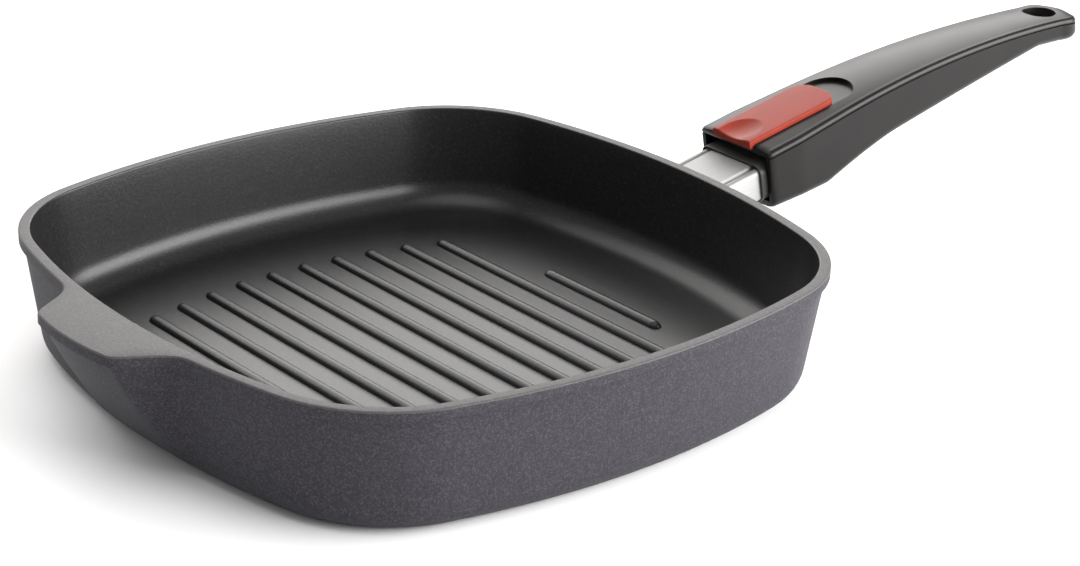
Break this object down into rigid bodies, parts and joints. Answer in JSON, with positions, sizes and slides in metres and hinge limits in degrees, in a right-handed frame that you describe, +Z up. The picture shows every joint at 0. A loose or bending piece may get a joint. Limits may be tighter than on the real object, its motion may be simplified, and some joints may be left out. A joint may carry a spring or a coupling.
{
  "type": "square grill pan",
  "caption": "Square cast grill pan with a ribbed floor, a front pouring-side grip lip and a detachable handle held by a sprung slide latch.",
  "frame": {"origin": "centre of the pan's flat base, on the surface that it stands on", "axes": "+Z up, +X towards the handle, +Y to the far side of the picture's view"},
  "size_m": [0.5396, 0.28, 0.0826],
  "materials": {
    "cast_coat": "satin non-stick coat with fine speckle over cast aluminium",
    "bright_steel": "polished stainless steel",
    "spring_steel": "plain spring steel",
    "black_grip": "satin black phenolic",
    "liner_coat": "grey-green satin",
    "slider_red": "satin red plastic"
  },
  "bodies": {
    "pan": {"pan_body": "cast_coat", "tang_sleeve": "bright_steel", "tang_screw_front": "bright_steel", "tang_screw_rear": "bright_steel"},
    "handle": {"handle_grip": "black_grip", "handle_cover": "black_grip", "socket_liner": "liner_coat", "liner_screw_left": "spring_steel", "liner_screw_right": "spring_steel", "cover_screw_front": "spring_steel", "cover_screw_rear": "spring_steel", "latch_leaf": "spring_steel", "latch_rivet_left": "spring_steel", "latch_rivet_right": "spring_steel", "return_spring": "spring_steel", "spring_pin": "spring_steel"},
    "slider": {"release_slider": "slider_red", "slider_carriage": "spring_steel", "slider_screw_front": "spring_steel", "slider_screw_rear": "spring_steel"}
  },
  "joints": [
    {"name": "handle_off", "type": "slide", "parent": "pan", "child": "handle", "axis": [0.9799, 0, 0.1994], "range_m": [0, 0.06]},
    {"name": "release_slide", "type": "slide", "parent": "handle", "child": "slider", "axis": [0.9799, 0, 0.1994], "range_m": [0, 0.012], "stiffness_N_per_m": 500, "springref_m": -0.006, "deforming": ["return_spring", "latch_leaf"]}
  ]
}
